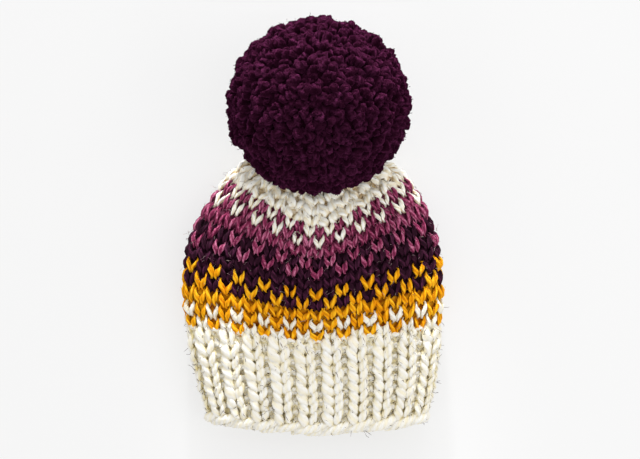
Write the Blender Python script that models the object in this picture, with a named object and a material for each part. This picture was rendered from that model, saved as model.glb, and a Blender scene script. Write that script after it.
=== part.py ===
"""A knitted bobble hat lying on its back on a table: a ribbed brim, three colour bands, a gathered
crown and a cut-yarn pompom.

Metres, +Z up. The hat lies along Y, with its rim at -Y and its pompom at +Y. The face seen from above
is called the front, and the face on the table the back. The origin is on the table, under the middle of
the plum band. Knitting rows are counted from the top of the ribbing, and a turn of 1 goes once round
the hat, from the middle of the front towards +X.
"""

import math
from collections import namedtuple
from functools import lru_cache

import bmesh
import bpy
import numpy as np
from mathutils import Vector

# The knitted bag
HAT_WIDTH = 0.2300
HAT_LENGTH = 0.2400
HAT_THICKNESS = 0.0560
KNIT_WALL = 0.0085
RIBS = 22
RIB_RISE = 0.0020
PLEAT_RISE = 0.0018
REST_FLAT = 0.0004
CLEARANCE = 0.0003

# The pompom
POMPOM_WIDTH = 0.1590
POMPOM_LENGTH = 0.1530
POMPOM_HEIGHT = 0.1560
POMPOM_SINK = 0.0150
POMPOM_SIDE_SHIFT = 0.0025
POMPOM_FLAT = 0.0025
LOCK_COUNT = 175
LOCK_DEPTH = 0.0065
LOCK_UNEVEN = 0.0015
LOCK_TAPER = 0.62

# Knitting rows where one piece ends and the next begins
CAST_ON_ROW = -8.5
RIB_TOP_ROW = 0.5
PLUM_FROM_ROW = 4.5
MAUVE_FROM_ROW = 7.5
CROWN_FROM_ROW = 10.5
HOLE_ROW = 18.5
RIM_ROUNDING_ROWS = 0.6

# The knitted pieces, with the rows between their ends where the wall bends
Piece = namedtuple("Piece", "name first_row last_row bends wool")
PIECES = [
    Piece("ribbed_brim", CAST_ON_ROW, RIB_TOP_ROW, (-6, -3.5, -0.5), "brim_wool"),
    Piece("mustard_band", RIB_TOP_ROW, PLUM_FROM_ROW, (2.5,), "mustard_wool"),
    Piece("plum_band", PLUM_FROM_ROW, MAUVE_FROM_ROW, (), "plum_wool"),
    Piece("mauve_band", MAUVE_FROM_ROW, CROWN_FROM_ROW, (9,), "mauve_wool"),
    Piece("gathered_crown", CROWN_FROM_ROW, HOLE_ROW, (12, 13.5, 15, 16.2, 17.2, 18), "crown_wool"),
]

# How much of its full height each relief has, by row
Relief = namedtuple("Relief", "row rib pleat")
RELIEFS = [
    Relief(CAST_ON_ROW, 1, 0),
    Relief(RIB_TOP_ROW - 1, 1, 0),
    Relief(RIB_TOP_ROW, 0, 0),
    Relief(CROWN_FROM_ROW, 0, 0),
    Relief(15, 0, 1),
    Relief(16.5, 0, 1),
    Relief(18, 0, 0),
]

# Sections of the wall's middle surface. Each is a closed ring through a point in the middle of the
# front, one in the middle of the back and one at each side. Widths are shares of half the bag's middle
# width, y of its length, heights of its middle thickness. The tent share says how far the row runs in
# a V from the sides to the middle, as rows do in a gathered bag that lies flat, and the corner powers
# are 2 for a round ring and more for a flatter one.
Section = namedtuple(
    "Section",
    "row centre_x half_width side_y side_z front_y front_z back_y back_z tent front_power back_power",
)
SECTIONS = [
    Section(-8.5, 0.022, 0.815, -0.566, 0.46, -0.600, 0.87, -0.580, 0.00, 1.0, 2.6, 3.4),
    Section(-7.5, 0.020, 0.838, -0.528, 0.47, -0.560, 0.91, -0.540, 0.00, 1.0, 2.8, 3.8),
    Section(-4.0, 0.012, 0.905, -0.403, 0.49, -0.435, 0.96, -0.412, 0.00, 1.0, 2.9, 4.2),
    Section(0.0, -0.008, 0.964, -0.242, 0.50, -0.286, 0.99, -0.250, 0.00, 1.0, 2.9, 4.5),
    Section(2.0, -0.014, 1.000, -0.143, 0.50, -0.210, 1.00, -0.167, 0.00, 1.0, 2.9, 4.5),
    Section(5.0, -0.018, 0.990, 0.016, 0.50, -0.098, 1.00, -0.042, 0.00, 1.0, 2.9, 4.5),
    Section(7.0, -0.012, 0.956, 0.102, 0.49, -0.024, 0.99, 0.042, 0.00, 1.0, 2.8, 4.3),
    Section(10.0, 0.008, 0.797, 0.257, 0.47, 0.089, 0.95, 0.167, 0.00, 1.0, 2.6, 3.8),
    Section(12.0, 0.018, 0.655, 0.341, 0.46, 0.166, 0.88, 0.246, 0.00, 0.9, 2.4, 3.2),
    Section(14.0, 0.012, 0.450, 0.396, 0.47, 0.243, 0.79, 0.324, 0.00, 0.7, 2.3, 2.7),
    Section(16.0, 0.005, 0.245, 0.406, 0.50, 0.316, 0.69, 0.390, 0.09, 0.3, 2.1, 2.2),
    Section(17.2, 0.005, 0.125, 0.398, 0.54, 0.354, 0.655, 0.409, 0.29, 0.0, 2.0, 2.0),
    Section(18.0, 0.005, 0.056, 0.388, 0.570, 0.376, 0.652, 0.400, 0.488, 0.0, 2.0, 2.0),
    Section(18.5, 0.005, 0.024, 0.388, 0.570, 0.383, 0.606, 0.393, 0.534, 0.0, 2.0, 2.0),
]
TENT_ROUNDING = 0.12
RING_SIDES = 4 * RIBS
RING_SAMPLES = 1440

# Colours, linear
WOOLS = {
    "brim_wool": (0.72, 0.66, 0.53),
    "mustard_wool": (0.78, 0.36, 0.02),
    "plum_wool": (0.030, 0.004, 0.018),
    "mauve_wool": (0.22, 0.05, 0.10),
    "crown_wool": (0.62, 0.55, 0.42),
    "pompom_wool": (0.020, 0.003, 0.012),
}


def section_at(row):
    """The section at any row, by a smooth curve through the table."""
    rows = np.array([s.row for s in SECTIONS])
    table = np.array(SECTIONS, float)
    slopes = np.gradient(table, rows, axis=0)
    i = int(np.clip(np.searchsorted(rows, row) - 1, 0, len(rows) - 2))
    step = rows[i + 1] - rows[i]
    t = (row - rows[i]) / step
    start, end = table[i], table[i + 1]
    lead, trail = slopes[i] * step, slopes[i + 1] * step
    values = (
        (2 * t**3 - 3 * t**2 + 1) * start
        + (t**3 - 2 * t**2 + t) * lead
        + (3 * t**2 - 2 * t**3) * end
        + (t**3 - t**2) * trail
    )
    return Section(*values)


def ring_at(row, angles):
    """The wall's middle surface on one row. Angle 0 is the middle of the front, and a quarter turn is +X."""
    s = section_at(row)
    half_width = (HAT_WIDTH - KNIT_WALL) / 2
    middle_thickness = HAT_THICKNESS - KNIT_WALL
    cos, sin = np.cos(angles), np.sin(angles)
    power = np.where(cos >= 0, s.front_power, s.back_power)
    across = np.abs(sin) ** (2 / power)
    towards = np.abs(cos) ** (2 / power)
    slope = np.hypot(across, TENT_ROUNDING) - TENT_ROUNDING
    tent = 1 - slope / (math.hypot(1, TENT_ROUNDING) - TENT_ROUNDING)
    share = s.tent * tent + (1 - s.tent) * towards
    middle_y = np.where(cos >= 0, s.front_y, s.back_y)
    middle_z = np.where(cos >= 0, s.front_z, s.back_z)
    x = half_width * (s.centre_x + s.half_width * across * np.sign(sin))
    y = HAT_LENGTH * (s.side_y + (middle_y - s.side_y) * share)
    z = KNIT_WALL / 2 - REST_FLAT + middle_thickness * (s.side_z + (middle_z - s.side_z) * towards)
    return np.column_stack([x, y, z])


@lru_cache(maxsize=None)
def even_angles(row):
    """Angles of the fine ring, and the share of the way round at each."""
    angles = np.linspace(0, 2 * math.pi, RING_SAMPLES + 1)
    ring = ring_at(row, angles)
    lengths = np.linalg.norm(np.diff(ring, axis=0), axis=1)
    way = np.concatenate([[0], np.cumsum(lengths)])
    return angles, way / way[-1]


def wales_at(row, turns):
    """Points on one row, with equal turns spaced evenly round it."""
    angles, way = even_angles(round(row, 6))
    return ring_at(row, np.interp(np.mod(turns, 1), way, angles))


def relief_at(row, turns):
    """How far the rib columns and the crown's pleats stand out of the wall."""
    rows = [r.row for r in RELIEFS]
    rib = np.interp(row, rows, [r.rib for r in RELIEFS])
    pleat = np.interp(row, rows, [r.pleat for r in RELIEFS])
    return -(RIB_RISE * rib + PLEAT_RISE * pleat) * np.cos(2 * math.pi * RIBS * turns)


def wall_points(row, turns, depth):
    """Points of the wall at one row. Depth is 1 on the outer face and -1 on the inner one."""
    row_step, turn_step = 0.05, 1e-3
    middle = wales_at(row, turns)
    along = wales_at(row + row_step, turns) - wales_at(row - row_step, turns)
    round_hat = wales_at(row, turns + turn_step) - wales_at(row, turns - turn_step)
    normals = np.cross(round_hat, along)
    normals /= np.linalg.norm(normals, axis=1)[:, None]
    points = middle + normals * (depth * KNIT_WALL / 2 + relief_at(row, turns))[:, None]
    points[:, 2] = np.maximum(points[:, 2], 0)
    return points


def wool(name):
    """A plain wool material."""
    material = bpy.data.materials.new(name)
    material.use_nodes = True
    shader = material.node_tree.nodes["Principled BSDF"]
    shader.inputs["Base Color"].default_value = (*WOOLS[name], 1)
    shader.inputs["Roughness"].default_value = 0.9
    shader.inputs["Metallic"].default_value = 0.0
    return material


def add_object(name, mesh_maker, material, parent):
    """Puts a new mesh object into the scene, under the hat's empty."""
    mesh = bpy.data.meshes.new(name)
    mesh_maker.normal_update()
    mesh_maker.to_mesh(mesh)
    mesh_maker.free()
    mesh.materials.append(material)
    mesh.shade_smooth()
    mesh.set_sharp_from_angle(angle=math.radians(60))
    obj = bpy.data.objects.new(name, mesh)
    obj.parent = parent
    bpy.context.scene.collection.objects.link(obj)
    return obj


def bridge_rings(mesh_maker, rings, closed):
    """Joins rings of points with triangles, each to the next, and the last to the first if closed."""
    loops = [[mesh_maker.verts.new(p) for p in ring] for ring in rings]
    pairs = list(zip(loops, loops[1:]))
    if closed:
        pairs.append((loops[-1], loops[0]))
    for lower, upper in pairs:
        count = len(lower)
        for i in range(count):
            j = (i + 1) % count
            mesh_maker.faces.new((lower[i], lower[j], upper[j]))
            mesh_maker.faces.new((lower[i], upper[j], upper[i]))
    return loops


def knitted_piece(piece, parent):
    """A closed stretch of the wall, which stops half a clearance short of its neighbours."""
    turns = np.arange(RING_SIDES) / RING_SIDES
    gap = CLEARANCE / 2 * (HOLE_ROW - CAST_ON_ROW) / HAT_LENGTH
    at_rim = piece.first_row == CAST_ON_ROW
    first = CAST_ON_ROW + RIM_ROUNDING_ROWS if at_rim else piece.first_row + gap
    rows = [first, *piece.bends, piece.last_row - gap]
    rim = [(CAST_ON_ROW, 0.5), (CAST_ON_ROW, -0.5)] if at_rim else []
    outline = [(row, 1.0) for row in reversed(rows)] + rim + [(row, -1.0) for row in rows]
    mesh_maker = bmesh.new()
    bridge_rings(mesh_maker, [wall_points(row, turns, depth) for row, depth in outline], closed=True)
    bmesh.ops.recalc_face_normals(mesh_maker, faces=mesh_maker.faces)
    return add_object(piece.name, mesh_maker, wool(piece.wool), parent)


def gather_centre():
    """The middle of the crown's gathered hole."""
    front, back = ring_at(HOLE_ROW, np.array([0, math.pi]))
    return Vector((front + back) / 2)


def lock_points():
    """Lock centres on a unit sphere, evenly spread by the golden angle."""
    golden = math.pi * (3 - math.sqrt(5))
    heights = 1 - (2 * np.arange(LOCK_COUNT) + 1) / LOCK_COUNT
    radii = np.sqrt(1 - heights**2)
    angles = golden * np.arange(LOCK_COUNT)
    return np.column_stack([radii * np.cos(angles), radii * np.sin(angles), heights])


def lock_cells(points):
    """The corners round each lock: centres of the triangles that join neighbouring lock centres."""
    hull = bmesh.new()
    for point in points:
        hull.verts.new(point)
    bmesh.ops.convex_hull(hull, input=hull.verts)
    hull.faces.ensure_lookup_table()
    hull.faces.index_update()
    corners = [face.calc_center_median().normalized() for face in hull.faces]
    cells = []
    for vert in hull.verts:
        middle = vert.co.normalized()
        side = middle.orthogonal().normalized()
        other = middle.cross(side)
        ordered = sorted(
            vert.link_faces,
            key=lambda face: math.atan2(corners[face.index].dot(other), corners[face.index].dot(side)),
        )
        cells.append((middle, [face.index for face in ordered]))
    hull.free()
    return corners, cells


def pompom(parent):
    """A ball of blunt locks on a head, resting on the table with a flattened foot."""
    gather = gather_centre()
    half_sizes = Vector((POMPOM_WIDTH, POMPOM_LENGTH, POMPOM_HEIGHT)) / 2
    reach = (half_sizes.y + half_sizes.z) / 2 - POMPOM_SINK
    height = half_sizes.z - POMPOM_FLAT
    rise = height - gather.z
    centre = Vector((gather.x + POMPOM_SIDE_SHIFT, gather.y + math.sqrt(reach**2 - rise**2), height))
    uneven = np.random.default_rng(5).uniform(-1, 1, LOCK_COUNT)
    corners, cells = lock_cells(lock_points())

    def placed(direction, inset):
        point = centre + Vector(d * (half - inset) for d, half in zip(direction, half_sizes))
        point.z = max(point.z, 0)
        return point

    mesh_maker = bmesh.new()
    valleys = [mesh_maker.verts.new(placed(corner, LOCK_DEPTH)) for corner in corners]
    for (middle, around), step in zip(cells, uneven):
        inset = LOCK_UNEVEN * (1 + step)
        brow = [
            mesh_maker.verts.new(placed(middle.lerp(corners[i], LOCK_TAPER).normalized(), inset + LOCK_DEPTH / 5))
            for i in around
        ]
        tip = mesh_maker.verts.new(placed(middle, inset))
        for k, corner in enumerate(around):
            following = (k + 1) % len(around)
            mesh_maker.faces.new((valleys[corner], valleys[around[following]], brow[following], brow[k]))
            mesh_maker.faces.new((brow[k], brow[following], tip))
    bmesh.ops.recalc_face_normals(mesh_maker, faces=mesh_maker.faces)
    return add_object("pompom", mesh_maker, wool("pompom_wool"), parent)


def crown_cutter(crown, parent):
    """The crown's outer form, larger by the clearance and closed, which cuts the pompom's seat."""
    turns = np.arange(RING_SIDES) / RING_SIDES
    depth = 1 + 2 * CLEARANCE / KNIT_WALL
    rows = [crown.last_row, *reversed(crown.bends), crown.first_row]
    mesh_maker = bmesh.new()
    loops = bridge_rings(mesh_maker, [wall_points(row, turns, depth) for row in rows], closed=False)
    for loop in (loops[0], loops[-1]):
        mesh_maker.faces.new(loop)
    bmesh.ops.recalc_face_normals(mesh_maker, faces=mesh_maker.faces)
    return add_object("crown_cutter", mesh_maker, wool(crown.wool), parent)


def cut(obj, cutter):
    """Cuts the cutter out of the object, and hides the cutter."""
    cutter.hide_render = True
    cutter.display_type = "WIRE"
    modifier = obj.modifiers.new(cutter.name, "BOOLEAN")
    modifier.operation = "DIFFERENCE"
    modifier.solver = "EXACT"
    modifier.object = cutter


def build():
    for obj in list(bpy.data.objects):
        bpy.data.objects.remove(obj, do_unlink=True)
    hat = bpy.data.objects.new("hat", None)
    bpy.context.scene.collection.objects.link(hat)
    for piece in PIECES:
        knitted_piece(piece, hat)
    cut(pompom(hat), crown_cutter(PIECES[-1], hat))


build()
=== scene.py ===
"""The bobble hat's looks: yarn stitches, cast-on edge, gathered crown, pompom, stray fibres, floor, light
and camera.

Metres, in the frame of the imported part: the hat lies on its back along Y, rim at -Y and pompom at +Y.
Rows are counted from the top of the ribbing. A turn of 1 goes once round the hat, from the middle of
the front, the face seen from above, towards +X.
"""

import math
from collections import namedtuple

import bpy
import numpy as np
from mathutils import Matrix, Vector, noise


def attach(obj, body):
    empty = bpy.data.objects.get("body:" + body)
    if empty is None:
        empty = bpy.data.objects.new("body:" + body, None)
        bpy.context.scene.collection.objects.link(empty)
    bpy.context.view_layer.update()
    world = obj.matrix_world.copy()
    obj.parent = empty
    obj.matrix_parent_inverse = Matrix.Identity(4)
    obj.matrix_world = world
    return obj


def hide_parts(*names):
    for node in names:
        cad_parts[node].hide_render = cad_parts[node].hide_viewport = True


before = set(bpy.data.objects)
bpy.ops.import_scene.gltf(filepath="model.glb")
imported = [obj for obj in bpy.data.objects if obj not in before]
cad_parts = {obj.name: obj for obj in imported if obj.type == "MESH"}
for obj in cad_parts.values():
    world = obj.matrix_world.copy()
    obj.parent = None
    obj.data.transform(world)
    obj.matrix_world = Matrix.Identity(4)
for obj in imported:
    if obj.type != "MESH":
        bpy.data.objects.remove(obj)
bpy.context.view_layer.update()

CIRCLE = 2 * math.pi
TINY = 1e-12

# The knitted bag, as in the part
HAT_WIDTH = 0.2300
HAT_LENGTH = 0.2400
HAT_THICKNESS = 0.0560
KNIT_WALL = 0.0085
REST_FLAT = 0.0004
RIBS = 22
WALES = 2 * RIBS
CAST_ON_ROW = -8.5
FIRST_RIB_ROW = -7
LAST_RIB_ROW = 0
CROWN_FROM_ROW = 10.5
DECREASE_ROW = 12
DECREASE_ROWS = 2
LAST_ROW = 17
HOLE_ROW = 18.5

# Sections of the wall's middle surface, as in the part. Widths are shares of half the bag's middle width,
# y of its length, and heights of its middle thickness.
Section = namedtuple(
    "Section",
    "row centre_x half_width side_y side_z front_y front_z back_y back_z tent front_power back_power",
)
SECTIONS = [
    Section(-8.5, 0.022, 0.815, -0.566, 0.46, -0.600, 0.87, -0.580, 0.00, 1.0, 2.6, 3.4),
    Section(-7.5, 0.020, 0.838, -0.528, 0.47, -0.560, 0.91, -0.540, 0.00, 1.0, 2.8, 3.8),
    Section(-4.0, 0.012, 0.905, -0.403, 0.49, -0.435, 0.96, -0.412, 0.00, 1.0, 2.9, 4.2),
    Section(0.0, -0.008, 0.964, -0.242, 0.50, -0.286, 0.99, -0.250, 0.00, 1.0, 2.9, 4.5),
    Section(2.0, -0.014, 1.000, -0.143, 0.50, -0.210, 1.00, -0.167, 0.00, 1.0, 2.9, 4.5),
    Section(5.0, -0.018, 0.990, 0.016, 0.50, -0.098, 1.00, -0.042, 0.00, 1.0, 2.9, 4.5),
    Section(7.0, -0.012, 0.956, 0.102, 0.49, -0.024, 0.99, 0.042, 0.00, 1.0, 2.8, 4.3),
    Section(10.0, 0.008, 0.797, 0.257, 0.47, 0.089, 0.95, 0.167, 0.00, 1.0, 2.6, 3.8),
    Section(12.0, 0.018, 0.655, 0.341, 0.46, 0.166, 0.88, 0.246, 0.00, 0.9, 2.4, 3.2),
    Section(14.0, 0.012, 0.450, 0.396, 0.47, 0.243, 0.79, 0.324, 0.00, 0.7, 2.3, 2.7),
    Section(16.0, 0.005, 0.245, 0.406, 0.50, 0.316, 0.69, 0.390, 0.09, 0.3, 2.1, 2.2),
    Section(17.2, 0.005, 0.125, 0.398, 0.54, 0.354, 0.655, 0.409, 0.29, 0.0, 2.0, 2.0),
    Section(18.0, 0.005, 0.056, 0.388, 0.570, 0.376, 0.652, 0.400, 0.488, 0.0, 2.0, 2.0),
    Section(18.5, 0.005, 0.024, 0.388, 0.570, 0.383, 0.606, 0.393, 0.534, 0.0, 2.0, 2.0),
]
TENT_ROUNDING = 0.12

# The grid on which the wall is looked up
RING_SAMPLES = 1440
GRID_ROW_STEP = 0.1
GRID_TURNS = 880
GRID_MARGIN_ROWS = 0.5
GRID_LAST_ROOM = 1.001

# The relief of ribs and pleats, and how much deeper than in the part the stitches lie in the pleats
RIB_RISE = 0.0020
CHANNEL_DROP = 0.0011
RIB_TOP_RELIEF = 0.3
PLEAT_RISE = 0.0018
PLEAT_DEEPENED = 1.5
PLEAT_ROWS = (CROWN_FROM_ROW, 15, 16.5, 18)
PLEAT_SHARES = (0, 1, 1, 0)

# How far the ribs squeeze the columns between them, in the ribbing and in the crown
RIB_SQUEEZE = 0.71
RIB_OPENS_ROW = 0.9
RIB_OPENING_ROWS = 1.5
CROWN_SQUEEZE = 0.30
CROWN_CLOSING_ROWS = 3

# How much wider the stitches lie on the two flat faces than at the folds, at the rim and in the bands,
# and how far the whole pattern is turned round the head
RIM_STRETCH = 0.14
BAND_STRETCH = 0.02
BAND_STRETCH_ROW = 4
PATTERN_SHIFT = 0.0065

# The yarn, and how far painted shade darkens its colour into the grooves: in the middle, less towards the
# outside, and less where the yarn lies far out
PITCH = 0.0111
LOOP_DEPTH = 0.0022
YARN_RADIUS = 0.0023
YARN_SIDES = 12
INNER_SIDES = 8
PLIES = 3
PLY_RELIEF = 0.15
PLY_TURNS_PER_STITCH = 1.9
YARN_ROUGHNESS = 0.00022
GROOVE_PAINTED_SHADE = 0.75
PAINTED_SHADE_BY_SIDE = 0.6
PAINTED_SHADE_BY_LIFT = 0.3

# How each kind of stitch lies: its legs' lean, how far they stand apart and their half height, its shift
# to the right towards the top, its yarn against the common yarn, the yarn's width at a leg's ends, where
# along the leg it is widest and how far that spreads, its points, 1 for the right side and -1 for the
# wrong side, and how uneven it is
Kind = namedtuple("Kind", "lean apart half_height slant yarn tip_width widest spread points side uneven")
KNIT = Kind(0.250, 0.030, 0.72, 0.00, 1.00, 0.20, 1.48, 0.70, 20, 1, 1.0)
RIB_KNIT = Kind(0.205, 0.012, 0.86, 0.08, 1.60, 0.74, 1.45, 0.95, 20, 1, 1.0)
RIB_PURL = Kind(0.225, 0.0, 0.62, 0.00, 1.34, 0.70, 1.50, 0.90, 14, -1, 1.0)
CROWN_KNIT = Kind(0.215, 0.02, 0.82, 0.03, 1.46, 0.32, 1.38, 0.80, 20, 1, 1.9)
LEAN_VARIES = 0.12
SLANT_VARIES = 0.05
ROW_VARIES = 0.10
LIFT_VARIES = 0.15
YARN_VARIES = 0.09
SLANT_SWELL = 1.7
NARROWEST_YARN = 0.75

# The wrong side: one flat strand behind each row, and the other colour's floats. Both lie far in and so take
# the most painted shade.
BACKING_DEPTH = 0.0011
BACKING_HEIGHT = -0.0016
BACKING_POINTS = 133
BACKING_WAVE_ROWS = 0.12
BACKING_WIDTH = 0.56
BACKING_TWIST = 60
BACKING_TONE = 0.2
FLOAT_REACH = 0.62
FLOAT_POINTS = 6
FLOAT_BOW_ROWS = 0.12
FLOAT_DROP = 1.1
FLOAT_ARC = 0.75
FLOAT_YARN = 0.72

# The chart of the two-stitch repeat: the colour of the stitches over the purl columns, of those over the
# rib's knit columns, and of the yarn that lies behind them
Course = namedtuple("Course", "row over_purl over_knit behind")
CHART = [
    Course(1, "mustard", "brim", "mustard"),
    Course(2, "brim", "mustard", "mustard"),
    Course(3, "mustard", "mustard", "mustard"),
    Course(4, "plum", "mustard", "plum"),
    Course(5, "mustard", "plum", "plum"),
    Course(6, "plum", "plum", "plum"),
    Course(7, "mauve", "plum", "plum"),
    Course(8, "plum", "mauve", "plum"),
    Course(9, "mauve", "mauve", "mauve"),
    Course(10, "crown", "mauve", "mauve"),
    Course(11, "mauve", "crown", "mauve"),
]

# The cast-on edge's strands: in front of the ribs, between them, and inside the rim
Strand = namedtuple("Strand", "rib_share half_reach middle_row rise height fatness")
CAST_ON_STRANDS = [
    Strand(0.62, 0.88, -7.98, 0.50, 0.0036, 1.66),
    Strand(0.12, 0.78, -8.12, 0.44, 0.0022, 1.46),
    Strand(0.40, 0.60, -8.15, 0.38, -0.0030, 1.10),
]
STRAND_POINTS = 18
STRAND_DIP = 0.6
STRAND_TWIST = 6.5
STRAND_PLY_RELIEF = 0.07
STRAND_PLACE_VARIES = 0.04
STRAND_ROW_VARIES = 0.08
STRAND_HEIGHT_VARIES = 0.15
STRAND_YARN_VARIES = 0.08

# The pompom, as in the part
POMPOM_WIDTH = 0.1590
POMPOM_LENGTH = 0.1530
POMPOM_HEIGHT = 0.1560
POMPOM_SINK = 0.0150
POMPOM_SIDE_SHIFT = 0.0025
POMPOM_FLAT = 0.0025

# Its yarn ends, how they press on the crown, and its core
Bulge = namedtuple("Bulge", "along width")
TUFT_PROFILE = [
    Bulge(0.00, 0.60),
    Bulge(0.40, 0.85),
    Bulge(0.68, 1.00),
    Bulge(0.84, 1.00),
    Bulge(0.94, 0.82),
    Bulge(1.00, 0.42),
]
TUFTS = 1650
TUFT_SIDES = 10
TUFT_RADIUS = 0.0043
TUFT_LENGTH = 0.024
TUFT_SIZES = (0.82, 1.15)
TUFT_FLATNESS = (0.8, 1.0)
TUFT_SCATTER = 0.018
TUFT_TILT = 0.16
TUFT_TWIST = 2.2
# The yarn ends' lift, from root to tip, only sets their painted shade: darkest at the root, lighter towards
# the tip
TUFT_ROOT_LIFT = -1.3
TUFT_LIFT_GAIN = 2
TUFT_UNEVEN = 0.0012
TUFT_ROUGHNESS = 0.00045
TUFT_PLY_RELIEF = 0.12
CLUMP_UNEVEN = 0.0060
CLUMP_INSET = 0.4
CLUMP_SCALE = 7.0
CROWN_GAP = 0.001
CROWN_LOOKUP_STEP = 8
PRESS_STEPS = 12
PRESS_STEP = 0.0015
CORE_INSET = 0.009
CORE_POINTS = 24
CORE_SIDES = 40
CORE_POLE = 0.02

# Loose fibres over the knitting, and fuzz on the pompom's yarn ends
HAIR_RADIUS = 0.00011
HAIR_ROUGHNESS = 0.00012
HAIR_POINTS = 4
HAIR_SIDES = 4
HAIR_TAPER = 0.5
HAIR_WAVE = 0.25
HAIR_CURL = 0.5
HAIR_SHORTEST = 0.25
HAIR_HEIGHTS = (0.0034, 0.0050)
HAIR_STANDS_OFF = 0.15
HAIR_TURNS_OUT = 1.2
BROWN_HAIRS = 1000
BROWN_HAIR_LENGTH = 0.007
PALE_HAIRS = 700
PALE_HAIR_LENGTH = 0.006
FUZZ_HAIRS = 6000
FUZZ_RADIUS = 0.00016
FUZZ_LENGTHS = (0.0008, 0.0018)
FUZZ_CURL = 0.35
FUZZ_LEAN = 0.7
FUZZ_SCATTER = 0.25
FUZZ_SINK = 0.0012

# A yarn's colours, from 0 to 255: the painted shadow between its strands, then its darker, common and lighter
# fibres
Palette = namedtuple("Palette", "shadow dark middle light")
PALETTES = {
    "cream": Palette((248, 232, 172), (229, 222, 203), (235, 231, 221), (238, 238, 235)),
    # The crown's yarn is the same cream, painted lighter against the pompom's shade, with a darker, warmer
    # painted shadow in its grooves
    "crown": Palette((222, 190, 128), (238, 225, 188), (254, 251, 238), (255, 254, 250)),
    "mustard": Palette((104, 36, 0), (206, 114, 0), (241, 162, 6), (252, 204, 46)),
    "plum": Palette((22, 4, 13), (30, 6, 20), (43, 10, 29), (90, 38, 68)),
    "mauve": Palette((46, 8, 28), (88, 22, 54), (142, 49, 86), (212, 132, 164)),
    "pompom": Palette((27, 5, 17), (31, 7, 20), (40, 11, 27), (82, 33, 64)),
    "brown_fibre": Palette((40, 26, 20), (64, 44, 34), (92, 64, 48), (150, 116, 88)),
    "pale_fibre": Palette((150, 120, 120), (170, 150, 145), (190, 170, 165), (230, 220, 214)),
}
FLECK_COLOUR = (92, 68, 50)

# The yarns' textures: how often they repeat, in metres along the yarn and turns round it or in metres of
# the hat, their detail, and how much each counts
FIBRE_SCALE = (210.0, 15.0)
FIBRE_DETAIL = 3.0
FIBRE_SHARE = 1.7
BLOTCH_SCALE = 160.0
BLOTCH_DETAIL = 2.0
TONE_SHARE = 0.25
COLOUR_FROM = 0.85
COLOUR_TO = 2.05
PLY_GROOVE_SHADE = -0.2
FLECK_SCALE = (130.0, 20.0)
FLECK_DETAIL = 1.0
FLECKS_IN_GROOVE = 0.14
FLECK_FROM = 0.69
FLECK_TO = 0.75
PLY_BUMP = 0.35
WISP_SCALE = 420.0
BUMP_STRENGTH = 0.8
BUMP_DISTANCE = 0.0007
WOOL_ROUGHNESS = 0.9
GLOW_DEPTH = 0.004
SHEEN_ROUGHNESS = 0.5

# The colour sockets of a mix node, by number because its names repeat
MIX_SHARE = 0
MIX_FIRST = 6
MIX_SECOND = 7
MIX_RESULT = 2

# The studio. The camera looks straight down on the hat.
FLOOR_HALF = 3.0
FLOOR_GREY = 0.28
FLOOR_EMISSION = 0.61
SKY_STRENGTH = 0.92
WHITE = (1.0, 1.0, 1.0, 1.0)
CAMERA_PLACE = (0.0045, 0.0324, 1.2)
CAMERA_LENS = 75
SENSOR_WIDTH = 36
Lamp = namedtuple("Lamp", "name kind watts place target settings")
LAMPS = [
    Lamp("key", "AREA", 5, (0.8, -0.1, 1.4), (0.0, 0.0, 0.0), {"size": 1.2}),
    Lamp(
        "back",
        "AREA",
        1.2,
        (0.05, 1.1, 0.5),
        (0.0, 0.1, 0.05),
        {"size": 0.8, "spread": math.radians(75)},
    ),
    Lamp(
        "rim",
        "SPOT",
        350,
        (-0.05, 1.2, 0.30),
        (0.0, 0.165, 0.115),
        {"spot_size": math.radians(9), "spot_blend": 1.0, "shadow_soft_size": 0.12},
    ),
]

SEED = 7
rng = np.random.default_rng(SEED)


def section_at(row):
    """The section at any row, by a smooth curve through the table."""
    rows = np.array([s.row for s in SECTIONS])
    table = np.array(SECTIONS, float)
    slopes = np.gradient(table, rows, axis=0)
    i = int(np.clip(np.searchsorted(rows, row) - 1, 0, len(rows) - 2))
    step = rows[i + 1] - rows[i]
    t = (row - rows[i]) / step
    start, end = table[i], table[i + 1]
    lead, trail = slopes[i] * step, slopes[i + 1] * step
    values = (
        (2 * t**3 - 3 * t**2 + 1) * start
        + (t**3 - 2 * t**2 + t) * lead
        + (3 * t**2 - 2 * t**3) * end
        + (t**3 - t**2) * trail
    )
    return Section(*values)


def ring_at(row, angles):
    """The wall's middle surface on one row. Angle 0 is the middle of the front, and a quarter turn is +X."""
    s = section_at(row)
    half_width = (HAT_WIDTH - KNIT_WALL) / 2
    middle_thickness = HAT_THICKNESS - KNIT_WALL
    cos, sin = np.cos(angles), np.sin(angles)
    power = np.where(cos >= 0, s.front_power, s.back_power)
    across = np.abs(sin) ** (2 / power)
    towards = np.abs(cos) ** (2 / power)
    slope = np.hypot(across, TENT_ROUNDING) - TENT_ROUNDING
    tent = 1 - slope / (math.hypot(1, TENT_ROUNDING) - TENT_ROUNDING)
    share = s.tent * tent + (1 - s.tent) * towards
    middle_y = np.where(cos >= 0, s.front_y, s.back_y)
    middle_z = np.where(cos >= 0, s.front_z, s.back_z)
    x = half_width * (s.centre_x + s.half_width * across * np.sign(sin))
    y = HAT_LENGTH * (s.side_y + (middle_y - s.side_y) * share)
    z = KNIT_WALL / 2 - REST_FLAT + middle_thickness * (s.side_z + (middle_z - s.side_z) * towards)
    return np.column_stack([x, y, z])


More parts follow.
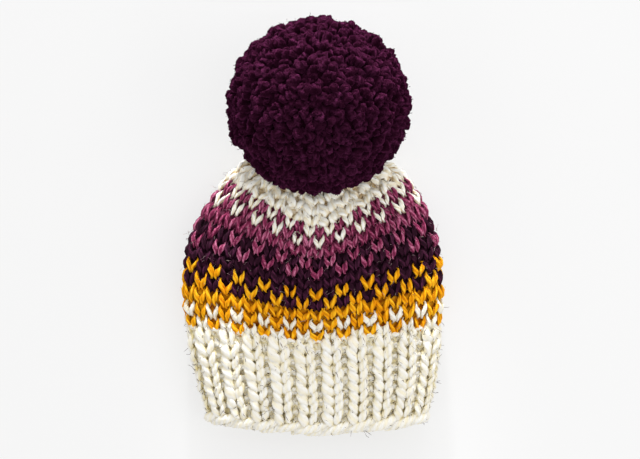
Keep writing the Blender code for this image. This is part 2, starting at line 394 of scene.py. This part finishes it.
def wall_grid():
    """Middle points and outward normals of the wall, on a fine grid of rows and turns."""
    rows = np.arange(CAST_ON_ROW - GRID_MARGIN_ROWS, HOLE_ROW + GRID_ROW_STEP / 2, GRID_ROW_STEP)
    turns = np.arange(GRID_TURNS + 1) / GRID_TURNS
    angles = np.linspace(0, CIRCLE, RING_SAMPLES + 1)
    points = []
    for row in rows:
        ring = ring_at(row, angles)
        way = np.concatenate([[0], np.cumsum(np.linalg.norm(np.diff(ring, axis=0), axis=1))])
        points.append(ring_at(row, np.interp(turns, way / way[-1], angles)))
    points = np.array(points)
    along = np.gradient(points, axis=0)
    round_hat = np.gradient(points, axis=1)
    seam = points[:, 1] - points[:, -2]
    round_hat[:, 0] = seam
    round_hat[:, -1] = seam
    normals = np.cross(round_hat, along)
    normals /= np.linalg.norm(normals, axis=2)[:, :, None]
    return rows, points, normals


GRID_ROWS, GRID_POINTS, GRID_NORMALS = wall_grid()


def on_wall(rows, turns, height):
    """Points at these rows and turns, this far out from the wall's middle, and the wall's normals there."""
    rows, turns, height = np.broadcast_arrays(rows, turns, height)
    i = np.clip((rows - GRID_ROWS[0]) / GRID_ROW_STEP, 0, len(GRID_ROWS) - GRID_LAST_ROOM)
    j = np.mod(turns, 1) * GRID_TURNS
    i0, j0 = i.astype(int), np.minimum(j.astype(int), GRID_TURNS - 1)
    di, dj = (i - i0)[..., None], (j - j0)[..., None]

    def blended(grid):
        low = grid[i0, j0] * (1 - dj) + grid[i0, j0 + 1] * dj
        high = grid[i0 + 1, j0] * (1 - dj) + grid[i0 + 1, j0 + 1] * dj
        return low * (1 - di) + high * di

    normals = blended(GRID_NORMALS)
    normals /= np.linalg.norm(normals, axis=-1, keepdims=True)
    return blended(GRID_POINTS) + normals * height[..., None], normals


def unit(vectors):
    """The same directions at length 1."""
    return vectors / np.maximum(np.linalg.norm(vectors, axis=-1, keepdims=True), TINY)


def yarn_tubes(
    paths,
    normals,
    widths,
    depths,
    twist,
    tone,
    lift,
    sides=YARN_SIDES,
    relief=PLY_RELIEF,
    roughness=YARN_ROUGHNESS,
):
    """Tubes of twisted yarn. paths and normals are (yarns, points, 3), widths and depths are half-sizes
    along and out of the surface, twist is the ply angle at each point, tone is one number a yarn, and lift
    is how far out each point lies, from -1 to 1."""
    tangents = unit(np.gradient(paths, axis=1))
    across = unit(np.cross(tangents, normals))
    out = np.cross(across, tangents)
    angle = np.linspace(0, CIRCLE, sides, endpoint=False)
    ply = 1 + relief * np.cos(PLIES * (angle - twist[:, :, None]))
    wide = (widths[:, :, None] * np.cos(angle) * ply)[..., None] * across[:, :, None, :]
    tall = (depths[:, :, None] * np.sin(angle) * ply)[..., None] * out[:, :, None, :]
    verts = paths[:, :, None, :] + wide + tall
    verts = verts + rng.normal(0, roughness, verts.shape)
    steps = np.linalg.norm(np.diff(paths, axis=1), axis=2)
    run = np.concatenate([np.zeros((len(paths), 1)), np.cumsum(steps, axis=1)], axis=1)
    around = (angle - twist[:, :, None]) / CIRCLE
    lift = np.broadcast_to(lift, widths.shape)[:, :, None]
    # Painted shade: the share of the palette's shadow colour each point takes, more on the side facing in and
    # where the yarn lies far in
    deep = GROOVE_PAINTED_SHADE - PAINTED_SHADE_BY_SIDE * np.sin(angle) - PAINTED_SHADE_BY_LIFT * lift
    return verts, run, around, tone, np.clip(deep, 0, GROOVE_PAINTED_SHADE)


def tube_faces(index):
    """Quads along tubes of (yarns, points, sides) vertices, and the quads that close their two ends."""
    following = np.roll(index, -1, axis=2)
    walls = np.stack([index[:, :-1], index[:, 1:], following[:, 1:], following[:, :-1]], axis=-1)
    half = np.arange(index.shape[2] // 2 - 1)
    last = index.shape[2] - 1
    ends = np.stack([half, half + 1, last - 1 - half, last - half], axis=-1)
    near = index[:, 0][:, ends]
    far = index[:, -1][:, ends[:, ::-1]]
    return walls.reshape(-1, 4), np.concatenate([near.reshape(-1, 4), far.reshape(-1, 4)])


def tube_mesh(name, tubes, material):
    """One mesh from batches of tubes. Its map is (run, around), and each point knows its yarn's random tone
    and how much painted shade it takes in its groove."""
    verts, faces, uvs, tones, depths = [], [], [], [], []
    first = 0
    for points, run, around, tone, deep in tubes:
        yarns, count, sides, _ = points.shape
        index = first + np.arange(yarns * count * sides).reshape(yarns, count, sides)
        walls, ends = tube_faces(index)
        u = np.broadcast_to(run[:, :, None], around.shape)
        corner_u = np.stack([u[:, :-1], u[:, 1:], u[:, 1:], u[:, :-1]], axis=-1)
        v, step = around, 1 / sides
        corner_v = np.stack([v[:, :-1], v[:, 1:], v[:, 1:] + step, v[:, :-1] + step], axis=-1)
        verts.append(points.reshape(-1, 3))
        faces += [walls, ends]
        uvs += [np.stack([corner_u, corner_v], axis=-1).reshape(-1, 2), np.zeros((ends.size, 2))]
        tones.append(np.repeat(tone, count * sides))
        depths.append(np.broadcast_to(deep, (yarns, count, sides)).ravel())
        first += yarns * count * sides
    verts = np.concatenate(verts)
    verts[:, 2] = np.maximum(verts[:, 2], 0)
    faces = np.concatenate(faces)
    mesh = bpy.data.meshes.new(name)
    mesh.vertices.add(len(verts))
    mesh.vertices.foreach_set("co", verts.ravel())
    mesh.loops.add(faces.size)
    mesh.loops.foreach_set("vertex_index", faces.ravel())
    mesh.polygons.add(len(faces))
    mesh.polygons.foreach_set("loop_start", np.arange(len(faces)) * 4)
    mesh.polygons.foreach_set("use_smooth", np.ones(len(faces), bool))
    mesh.update(calc_edges=True)
    mesh.uv_layers.new(name="yarn").data.foreach_set("uv", np.concatenate(uvs).ravel())
    for label, values in (("tone", tones), ("deep", depths)):
        mesh.attributes.new(label, "FLOAT", "POINT").data.foreach_set("value", np.concatenate(values))
    mesh.materials.append(material)
    obj = bpy.data.objects.new(name, mesh)
    bpy.context.scene.collection.objects.link(obj)
    return obj


def rib_turns(turns, rows):
    """Turns with the knit columns spread wide and those between them squeezed, in the rib and the crown."""
    rib = RIB_SQUEEZE * np.clip((RIB_OPENS_ROW - rows) / RIB_OPENING_ROWS, 0, 1)
    squeeze = rib + CROWN_SQUEEZE * np.clip((rows - CROWN_FROM_ROW) / CROWN_CLOSING_ROWS, 0, 1)
    wave = CIRCLE * RIBS
    return turns - squeeze * np.sin(wave * turns) / wave


def placed(turns, rows):
    """Turns as they lie on the flattened hat, stretched on its faces and crowded at its folds."""
    stretch = np.interp(rows, [CAST_ON_ROW, BAND_STRETCH_ROW], [RIM_STRETCH, BAND_STRETCH])
    wave = 2 * CIRCLE
    return turns + PATTERN_SHIFT + stretch * np.sin(wave * turns) / wave


def local_pitch(rows, turns, wales):
    """Distance between neighbouring wales, as a share of the common pitch."""
    half = 0.5 / wales
    left, _ = on_wall(rows, placed(turns - half, rows), 0)
    right, _ = on_wall(rows, placed(turns + half, rows), 0)
    return np.linalg.norm(right - left, axis=-1) / PITCH


def stitch_relief(kind, row, turns):
    """How far the ribs or the pleats lift these stitches."""
    if kind in (RIB_KNIT, RIB_PURL):
        rise = RIB_RISE if kind is RIB_KNIT else -CHANNEL_DROP
        return rise * np.interp(row, [LAST_RIB_ROW - 1, LAST_RIB_ROW], [1, RIB_TOP_RELIEF])
    pleat = np.interp(row, PLEAT_ROWS, PLEAT_SHARES)
    return -PLEAT_DEEPENED * PLEAT_RISE * pleat * np.cos(CIRCLE * RIBS * turns)


def stitch_tubes(row, columns, wales, kind):
    """The stitches of one row at these columns."""
    count = len(columns)
    t = np.linspace(0, CIRCLE, kind.points)
    middle = np.sin(t / 2) ** 2
    by_lean, by_slant, by_row, by_lift, by_yarn, _ = kind.uneven * rng.normal(0, 1, (6, count, 1))
    lean = kind.lean * (1 + LEAN_VARIES * by_lean)
    across = t / CIRCLE - 0.5 + lean * np.sin(2 * t) - kind.apart * np.sin(t)
    across = across + (kind.slant + SLANT_VARIES * by_slant) * middle
    rows = row - kind.half_height * np.cos(t) + ROW_VARIES * by_row * middle - kind.slant * np.sin(t)
    middles = np.asarray(columns)[:, None]
    turns = rib_turns((middles + across) / wales, rows)
    lift = -kind.side * np.cos(2 * t) * (1 + LIFT_VARIES * by_lift)
    height = LOOP_DEPTH * lift + stitch_relief(kind, row, turns)
    paths, normals = on_wall(rows, placed(turns, rows), height)
    pitch = local_pitch(np.full((count, 1), float(row)), middles / wales, wales)
    size = np.clip(pitch, NARROWEST_YARN, 1.0)
    leg = np.minimum(t, CIRCLE - t)
    leaf = kind.tip_width + (1 - kind.tip_width) * np.exp(-(((leg - kind.widest) / kind.spread) ** 2))
    swell = leaf * (1 + SLANT_SWELL * kind.slant * np.sin(t)) * (1 + YARN_VARIES * by_yarn)
    widths = YARN_RADIUS * kind.yarn * size * swell
    depths = YARN_RADIUS * size * (0.5 + 0.5 * kind.yarn * swell)
    twist = PLY_TURNS_PER_STITCH * t + rng.uniform(0, CIRCLE, (count, 1))
    tone = rng.uniform(0, 1, count)
    return yarn_tubes(paths, normals, widths, depths, twist, tone, lift)


def backing_tube(row):
    """The wrong side's yarn, that closes the gaps behind a row, as one flat strand all round."""
    turns = np.linspace(0, 1, BACKING_POINTS)[None, :]
    wave = BACKING_WAVE_ROWS * np.cos(CIRCLE * WALES * turns)
    paths, normals = on_wall(row + wave, turns, BACKING_HEIGHT)
    ahead, _ = on_wall(row + 0.5, turns, BACKING_HEIGHT)
    behind, _ = on_wall(row - 0.5, turns, BACKING_HEIGHT)
    widths = BACKING_WIDTH * np.linalg.norm(ahead - behind, axis=-1)
    depths = np.full(widths.shape, BACKING_DEPTH)
    tone = np.full(1, BACKING_TONE)
    return yarn_tubes(paths, normals, widths, depths, BACKING_TWIST * turns, tone, -1.0, INNER_SIDES)


def float_tubes(row, columns):
    """The other colour's yarn, carried straight behind these stitches."""
    count = len(columns)
    s = np.linspace(-FLOAT_REACH, FLOAT_REACH, FLOAT_POINTS)
    turns = (np.asarray(columns)[:, None] + s) / WALES
    rows = row + FLOAT_BOW_ROWS * np.cos(math.pi * s) + np.zeros((count, 1))
    drop = FLOAT_DROP * YARN_RADIUS * np.cos(FLOAT_ARC * math.pi * s)
    paths, normals = on_wall(rows, placed(turns, rows), -LOOP_DEPTH - drop + np.zeros((count, 1)))
    radius = np.full(paths.shape[:2], YARN_RADIUS * FLOAT_YARN)
    twist = CIRCLE * (s + 1) + rng.uniform(0, CIRCLE, (count, 1))
    tone = rng.uniform(0, 1, count)
    return yarn_tubes(paths, normals, radius, radius, twist, tone, -1.0, INNER_SIDES)


def cast_on_tubes():
    """The rope-like edge: long slanted strands."""
    tubes = []
    s = np.linspace(-1, 1, STRAND_POINTS)
    bow = 1 - s**2
    for strand in CAST_ON_STRANDS:
        by_place, by_row, by_height, by_yarn = rng.normal(0, 1, (4, RIBS, 1))
        columns = np.arange(RIBS)[:, None] + strand.rib_share + STRAND_PLACE_VARIES * by_place
        turns = (columns + strand.half_reach * s) / RIBS
        rows = strand.middle_row + strand.rise * s + STRAND_ROW_VARIES * by_row
        arch = (1 + STRAND_DIP) * bow - STRAND_DIP
        height = strand.height * arch * (1 + STRAND_HEIGHT_VARIES * by_height)
        paths, normals = on_wall(rows, placed(turns, rows), height)
        swell = (0.5 + 0.5 * np.sqrt(bow)) * (1 + STRAND_YARN_VARIES * by_yarn)
        widths = YARN_RADIUS * strand.fatness * swell
        twist = STRAND_TWIST * s + rng.uniform(0, CIRCLE, (RIBS, 1))
        tone = rng.uniform(0, 1, RIBS)
        tubes.append(yarn_tubes(paths, normals, widths, widths, twist, tone, bow, relief=STRAND_PLY_RELIEF))
    return tubes


def knitting():
    """Tubes of every stitch, by yarn colour."""
    yarns = {"brim": [], "mustard": [], "plum": [], "mauve": [], "crown": []}
    purl_columns = np.arange(0, WALES, 2)
    knit_columns = purl_columns + 1
    for row in range(FIRST_RIB_ROW, LAST_RIB_ROW + 1):
        yarns["brim"].append(stitch_tubes(row, knit_columns, WALES, RIB_KNIT))
        yarns["brim"].append(stitch_tubes(row, purl_columns, WALES, RIB_PURL))
        yarns["brim"].append(backing_tube(row))
    for course in CHART:
        yarns[course.over_purl].append(stitch_tubes(course.row, purl_columns, WALES, KNIT))
        yarns[course.over_knit].append(stitch_tubes(course.row, knit_columns, WALES, KNIT))
        yarns[course.behind].append(backing_tube(course.row))
        if course.over_purl != course.over_knit:
            yarns[course.over_purl].append(float_tubes(course.row, knit_columns))
            yarns[course.over_knit].append(float_tubes(course.row, purl_columns))
    for row in range(CHART[-1].row + 1, LAST_ROW + 1):
        yarns["crown"].append(backing_tube(row))
        if DECREASE_ROW <= row < DECREASE_ROW + DECREASE_ROWS:
            yarns["crown"].append(stitch_tubes(row, purl_columns, WALES, KNIT))
        if row < DECREASE_ROW:
            yarns["crown"].append(stitch_tubes(row, np.arange(WALES), WALES, KNIT))
        else:
            yarns["crown"].append(stitch_tubes(row, np.arange(RIBS) + 0.5, RIBS, CROWN_KNIT))
    return yarns


def pompom_centre():
    """The pompom's middle: its reach from the crown's gathered hole, at its resting height."""
    front, back = ring_at(HOLE_ROW, np.array([0, math.pi]))
    gather = (front + back) / 2
    reach = (POMPOM_LENGTH + POMPOM_HEIGHT) / 4 - POMPOM_SINK
    height = POMPOM_HEIGHT / 2 - POMPOM_FLAT
    forward = math.sqrt(reach**2 - (height - gather[2]) ** 2)
    return np.array([gather[0] + POMPOM_SIDE_SHIFT, gather[1] + forward, height])


def depth_in_crown(points):
    """How deep each point lies under the crown's outer face: below zero is clear of it."""
    crown = GRID_ROWS > CROWN_FROM_ROW
    outer = GRID_POINTS + GRID_NORMALS * KNIT_WALL / 2
    faces = outer[crown][:, ::CROWN_LOOKUP_STEP].reshape(-1, 3)
    normals = GRID_NORMALS[crown][:, ::CROWN_LOOKUP_STEP].reshape(-1, 3)
    depths = []
    for point in points:
        offsets = faces - point
        nearest = np.argmin((offsets**2).sum(axis=1))
        depths.append(offsets[nearest] @ normals[nearest])
    return np.array(depths)


def tuft_tips():
    """The yarn ends' tips all over the pompom, in clumps and drawn in where they press on the crown, and
    the way each points."""
    order = np.arange(TUFTS) + 0.5
    height = 1 - 2 * order / TUFTS
    angle = math.pi * (1 + math.sqrt(5)) * order
    flat = np.sqrt(1 - height**2)
    ways = np.column_stack([flat * np.cos(angle), flat * np.sin(angle), height])
    ways = unit(ways + rng.normal(0, TUFT_SCATTER, ways.shape))
    half = np.array([POMPOM_WIDTH, POMPOM_LENGTH, POMPOM_HEIGHT]) / 2
    clumps = np.array([[noise.noise(Vector(way) * CLUMP_SCALE)] for way in ways])
    inset = TUFT_UNEVEN * rng.uniform(0, 2, (TUFTS, 1)) + CLUMP_UNEVEN * (CLUMP_INSET - clumps)
    tips = pompom_centre() + ways * (half - np.maximum(inset, 0))
    for _ in range(PRESS_STEPS):
        deep = depth_in_crown(tips) > -CROWN_GAP
        if not deep.any():
            break
        tips[deep] -= ways[deep] * PRESS_STEP
    return tips, ways


def tuft_tubes(tips, ways):
    """Blunt yarn ends."""
    lean = unit(ways + TUFT_TILT * rng.normal(0, 1, ways.shape))
    along = np.array([b.along for b in TUFT_PROFILE])
    paths = tips[:, None, :] - lean[:, None, :] * (TUFT_LENGTH * (1 - along))[None, :, None]
    side = unit(np.cross(lean, unit(rng.normal(0, 1, lean.shape))))
    normals = np.broadcast_to(side[:, None, :], paths.shape)
    size = TUFT_RADIUS * rng.uniform(*TUFT_SIZES, (TUFTS, 1))
    widths = size * np.array([b.width for b in TUFT_PROFILE])
    depths = widths * rng.uniform(*TUFT_FLATNESS, (TUFTS, 1))
    twist = TUFT_TWIST * along + rng.uniform(0, CIRCLE, (TUFTS, 1))
    # Painted shade, darker towards each yarn end's root
    lift = TUFT_LIFT_GAIN * along + TUFT_ROOT_LIFT
    tone = rng.uniform(0, 1, TUFTS)
    return yarn_tubes(
        paths, normals, widths, depths, twist, tone, lift, TUFT_SIDES, TUFT_PLY_RELIEF, TUFT_ROUGHNESS
    )


def core_tube():
    """The dense middle between the yarn ends, as one short fat tube. Its tone of 0 and its lift of -1 give it
    the darkest fibres and the most painted shade, so that it shows dark there.
    """
    steps = np.linspace(CORE_POLE, math.pi - CORE_POLE, CORE_POINTS)
    half = np.array([POMPOM_WIDTH, POMPOM_LENGTH, POMPOM_HEIGHT]) / 2 - CORE_INSET
    path = pompom_centre() + np.column_stack([0 * steps, 0 * steps, -half[2] * np.cos(steps)])
    normals = np.broadcast_to([0.0, 1.0, 0.0], (1, len(steps), 3))
    ring = np.sin(steps)[None, :]
    zero = np.zeros((1, len(steps)))
    widths, depths = half[0] * ring, half[1] * ring
    return yarn_tubes(path[None], normals, widths, depths, zero, np.zeros(1), -1.0, CORE_SIDES, relief=0.0)


def hair_tubes(roots, ways, lengths, radius, curl):
    """Loose fibres: thin curling tubes from these roots, along these ways."""
    count = len(roots)
    s = np.linspace(0, 1, HAIR_POINTS)[None, :, None]
    bend = unit(rng.normal(0, 1, (count, 3)))[:, None, :] * curl
    wave = unit(rng.normal(0, 1, (count, 3)))[:, None, :] * curl
    shape = ways[:, None, :] * s + bend * s**2 + HAIR_WAVE * wave * np.sin(CIRCLE * s)
    paths = roots[:, None, :] + lengths[:, None, None] * shape
    normals = np.broadcast_to(unit(rng.normal(0, 1, (count, 3)))[:, None, :], paths.shape)
    widths = radius * np.broadcast_to(1 - HAIR_TAPER * s[:, :, 0], paths.shape[:2])
    zero = np.zeros(paths.shape[:2])
    tone = rng.uniform(0, 1, count)
    return yarn_tubes(paths, normals, widths, widths, zero, tone, 1.0, HAIR_SIDES, 0.0, HAIR_ROUGHNESS)


def fuzz_tubes(tips, ways):
    """Short fuzz standing on the yarn ends."""
    chosen = rng.integers(0, TUFTS, FUZZ_HAIRS)
    lean = unit(ways[chosen] + rng.normal(0, FUZZ_LEAN, (FUZZ_HAIRS, 3)))
    scatter = rng.normal(0, FUZZ_SCATTER * TUFT_RADIUS, (FUZZ_HAIRS, 3))
    roots = tips[chosen] + scatter - FUZZ_SINK * ways[chosen]
    clear = depth_in_crown(roots) < -2 * CROWN_GAP
    lengths = rng.uniform(*FUZZ_LENGTHS, clear.sum())
    return hair_tubes(roots[clear], lean[clear], lengths, FUZZ_RADIUS, FUZZ_CURL)


def knit_hairs(first_row, last_row, count, longest):
    """Loose fibres lying over the knitting between two rows, mostly along it and some standing off."""
    rows = rng.uniform(first_row, last_row, count)
    roots, normals = on_wall(rows, rng.uniform(0, 1, count), rng.uniform(*HAIR_HEIGHTS, count))
    ways = unit(rng.normal(0, 1, (count, 3)) + HAIR_STANDS_OFF * normals)
    inward = np.minimum((ways * normals).sum(axis=1, keepdims=True), 0)
    ways -= normals * inward * HAIR_TURNS_OUT
    lengths = rng.uniform(HAIR_SHORTEST * longest, longest, count)
    return hair_tubes(roots, ways, lengths, HAIR_RADIUS, HAIR_CURL)


def srgb(*values):
    """Linear colour from 0 to 255 values."""
    return tuple((v / 255 / 12.92) if v <= 10 else ((v / 255 + 0.055) / 1.055) ** 2.4 for v in values)


def shader_nodes(name):
    """A new material, its node tree and its Principled shader."""
    material = bpy.data.materials.new(name)
    material.use_nodes = True
    tree = material.node_tree
    return material, tree, tree.nodes["Principled BSDF"]


def set_inputs(shader, values):
    """Sets a shader's own sockets."""
    for name, value in values.items():
        shader.inputs[name].default_value = value


def add_node(tree, kind, inputs=None, **settings):
    """Adds a node, sets its settings and its inputs, and links inputs that are sockets."""
    node = tree.nodes.new(kind)
    for key, value in settings.items():
        setattr(node, key, value)
    for key, value in (inputs or {}).items():
        if isinstance(value, bpy.types.NodeSocket):
            tree.links.new(value, node.inputs[key])
        else:
            node.inputs[key].default_value = value
    return node


def math_node(tree, operation, *values):
    """The result of a maths node on these sockets or numbers."""
    return add_node(tree, "ShaderNodeMath", dict(enumerate(values)), operation=operation).outputs["Value"]


def noise_node(tree, place, scale, detail):
    """Noise at this place, from 0 to 1."""
    inputs = {"Vector": place, "Scale": scale, "Detail": detail}
    return add_node(tree, "ShaderNodeTexNoise", inputs).outputs["Fac"]


def yarn_noise(tree, uv, scale, detail):
    """Noise in streaks along the yarn: scale is how often it changes along and round it."""
    streaks = add_node(tree, "ShaderNodeMapping", {"Vector": uv, "Scale": (*scale, 1.0)}).outputs["Vector"]
    return noise_node(tree, streaks, 1.0, detail)


def mixed_colour(tree, share, colour, other):
    """A colour mixed with this share of another."""
    inputs = {MIX_SHARE: share, MIX_FIRST: colour, MIX_SECOND: (*other, 1)}
    return add_node(tree, "ShaderNodeMix", inputs, data_type="RGBA").outputs[MIX_RESULT]


def ramp(tree, fac, stops):
    """A colour ramp with these (place, colour) stops."""
    node = add_node(tree, "ShaderNodeValToRGB", {"Fac": fac})
    elements = node.color_ramp.elements
    while len(elements) < len(stops):
        elements.new(0.5)
    for element, (place, colour) in zip(elements, stops):
        element.position = place
        element.color = (*colour, 1)
    return node.outputs["Color"]


def attribute(tree, name):
    """The mesh's own number of this name at each point."""
    return add_node(tree, "ShaderNodeAttribute", attribute_name=name).outputs["Fac"]


def yarn_material(name, flecks=False, sheen=0.0, speckle=1.0, fuzz=0.0, glow=0.0, gloss=0.12, plies=0.16):
    """Twisted wool: fibres along the plies, mottled colour, a tone for each stitch, painted shade in the
    grooves and between the plies, and fleck fibres.
    """
    palette = Palette(*(srgb(*colour) for colour in PALETTES[name]))
    material, tree, shader = shader_nodes(name)
    uv = add_node(tree, "ShaderNodeUVMap", uv_map="yarn").outputs["UV"]
    along, round_yarn = FIBRE_SCALE
    fibres = yarn_noise(tree, uv, (along * speckle, round_yarn), FIBRE_DETAIL)
    place = add_node(tree, "ShaderNodeTexCoord").outputs["Object"]
    blotches = noise_node(tree, place, BLOTCH_SCALE, BLOTCH_DETAIL)
    around = add_node(tree, "ShaderNodeSeparateXYZ", {"Vector": uv}).outputs["Y"]
    ply = math_node(tree, "COSINE", math_node(tree, "MULTIPLY", around, CIRCLE * PLIES))
    mixed = math_node(tree, "MULTIPLY_ADD", fibres, FIBRE_SHARE, blotches)
    toned = math_node(tree, "MULTIPLY_ADD", attribute(tree, "tone"), TONE_SHARE, mixed)
    # Painted shade between the plies: their crests lighter and the grooves between them darker
    plied = math_node(tree, "MULTIPLY_ADD", ply, plies, toned)
    span = {"Value": plied, "From Min": COLOUR_FROM, "From Max": COLOUR_TO}
    fac = add_node(tree, "ShaderNodeMapRange", span).outputs["Result"]
    colour = ramp(tree, fac, [(0.0, palette.dark), (0.5, palette.middle), (1.0, palette.light)])
    # Painted shade: the colour runs towards the palette's shadow with how deep the point lies in a groove,
    # and more in the grooves between the plies
    between = math_node(tree, "MULTIPLY_ADD", ply, PLY_GROOVE_SHADE, attribute(tree, "deep"))
    colour = mixed_colour(tree, between, colour, palette.shadow)
    if flecks:
        spots = yarn_noise(tree, uv, FLECK_SCALE, FLECK_DETAIL)
        gathered = math_node(tree, "MULTIPLY_ADD", attribute(tree, "deep"), FLECKS_IN_GROOVE, spots)
        mask = ramp(tree, gathered, [(FLECK_FROM, (0, 0, 0)), (FLECK_TO, (1, 1, 1))])
        colour = mixed_colour(tree, mask, colour, srgb(*FLECK_COLOUR))
    height = math_node(tree, "MULTIPLY_ADD", ply, PLY_BUMP, fibres)
    if fuzz:
        wisps = noise_node(tree, place, WISP_SCALE, FIBRE_DETAIL)
        height = math_node(tree, "MULTIPLY_ADD", wisps, fuzz, height)
    relief = {"Height": height, "Strength": BUMP_STRENGTH, "Distance": BUMP_DISTANCE}
    bump = add_node(tree, "ShaderNodeBump", relief).outputs["Normal"]
    tree.links.new(colour, shader.inputs["Base Color"])
    tree.links.new(bump, shader.inputs["Normal"])
    set_inputs(
        shader,
        {
            "Roughness": WOOL_ROUGHNESS,
            "Specular IOR Level": gloss,
            "Subsurface Weight": glow,
            "Subsurface Radius": (1.0, 1.0, 1.0),
            "Subsurface Scale": GLOW_DEPTH,
            "Sheen Weight": sheen,
            "Sheen Roughness": SHEEN_ROUGHNESS,
            "Sheen Tint": (*palette.light, 1),
        },
    )
    return material


Piece = namedtuple("Piece", "name tubes material slot node")


def make_hat():
    """Makes each piece of the hat, which rides on it and stands for a solid."""
    yarns = knitting()
    edge = cast_on_tubes()
    tips, ways = tuft_tips()
    ends = [core_tube(), tuft_tubes(tips, ways)]
    fuzz = [fuzz_tubes(tips, ways)]
    brown_hairs = [knit_hairs(CAST_ON_ROW, LAST_RIB_ROW + 1, BROWN_HAIRS, BROWN_HAIR_LENGTH)]
    pale_hairs = [knit_hairs(LAST_RIB_ROW, LAST_ROW, PALE_HAIRS, PALE_HAIR_LENGTH)]

    cream = yarn_material("cream", flecks=True, glow=0.20)
    # The crown takes the cream painted lighter, against the pompom's shade
    crown = yarn_material("crown", flecks=True, glow=0.20)
    mustard = yarn_material("mustard")
    plum = yarn_material("plum")
    mauve = yarn_material("mauve", speckle=2.5, plies=0.22)
    pompom = yarn_material("pompom", sheen=0.90, fuzz=4.0, gloss=0.0)
    brown = yarn_material("brown_fibre")
    pale = yarn_material("pale_fibre")

    pieces = [
        Piece("knit_cream_brim", yarns["brim"], cream, "brim_wool", "ribbed_brim"),
        Piece("cast_on_edge", edge, cream, "brim_wool", "ribbed_brim"),
        Piece("knit_mustard", yarns["mustard"], mustard, "mustard_wool", "mustard_band"),
        Piece("knit_plum", yarns["plum"], plum, "plum_wool", "plum_band"),
        Piece("knit_mauve", yarns["mauve"], mauve, "mauve_wool", "mauve_band"),
        Piece("knit_cream_crown", yarns["crown"], crown, "crown_wool", "gathered_crown"),
        Piece("pompom_yarn_ends", ends, pompom, "pompom_wool", "pompom"),
        Piece("pompom_fuzz", fuzz, pompom, "pompom_wool", "pompom"),
        Piece("brown_hairs", brown_hairs, brown, "brim_wool", "ribbed_brim"),
        Piece("pale_hairs", pale_hairs, pale, "plum_wool", "plum_band"),
    ]
    for piece in pieces:
        obj = tube_mesh(piece.name, piece.tubes, piece.material)
        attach(obj, "root")
        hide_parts(piece.node)


def make_floor():
    """A wide pale floor, a little lit from within."""
    half = FLOOR_HALF
    corners = [(-half, -half, 0), (half, -half, 0), (half, half, 0), (-half, half, 0)]
    mesh = bpy.data.meshes.new("floor")
    mesh.from_pydata(corners, [], [(0, 1, 2, 3)])
    material, _, shader = shader_nodes("floor_white")
    set_inputs(
        shader,
        {
            "Base Color": (FLOOR_GREY, FLOOR_GREY, FLOOR_GREY, 1),
            "Emission Color": WHITE,
            "Emission Strength": FLOOR_EMISSION,
            "Roughness": 1.0,
            "Specular IOR Level": 0.0,
        },
    )
    mesh.materials.append(material)
    floor = bpy.data.objects.new("floor", mesh)
    bpy.context.scene.collection.objects.link(floor)


def make_sky():
    """Even white light from all round."""
    world = bpy.data.worlds.new("studio")
    world.use_nodes = True
    set_inputs(world.node_tree.nodes["Background"], {"Color": WHITE, "Strength": SKY_STRENGTH})
    bpy.context.scene.world = world


def make_lamps():
    """Soft lights, each in its place and facing its target."""
    for lamp in LAMPS:
        light = bpy.data.lights.new(lamp.name, lamp.kind)
        light.energy = lamp.watts
        for key, value in lamp.settings.items():
            setattr(light, key, value)
        obj = bpy.data.objects.new(lamp.name, light)
        obj.location = lamp.place
        obj.rotation_euler = (Vector(lamp.target) - obj.location).to_track_quat("-Z", "Y").to_euler()
        bpy.context.scene.collection.objects.link(obj)


def make_camera():
    """The camera, straight above."""
    scene = bpy.context.scene
    camera = bpy.data.cameras.new("camera")
    camera.lens = CAMERA_LENS
    camera.sensor_width = SENSOR_WIDTH
    eye = bpy.data.objects.new("camera", camera)
    eye.location = CAMERA_PLACE
    scene.collection.objects.link(eye)
    scene.camera = eye
    scene.view_settings.view_transform = "Standard"


make_hat()
make_floor()
make_sky()
make_lamps()
make_camera()
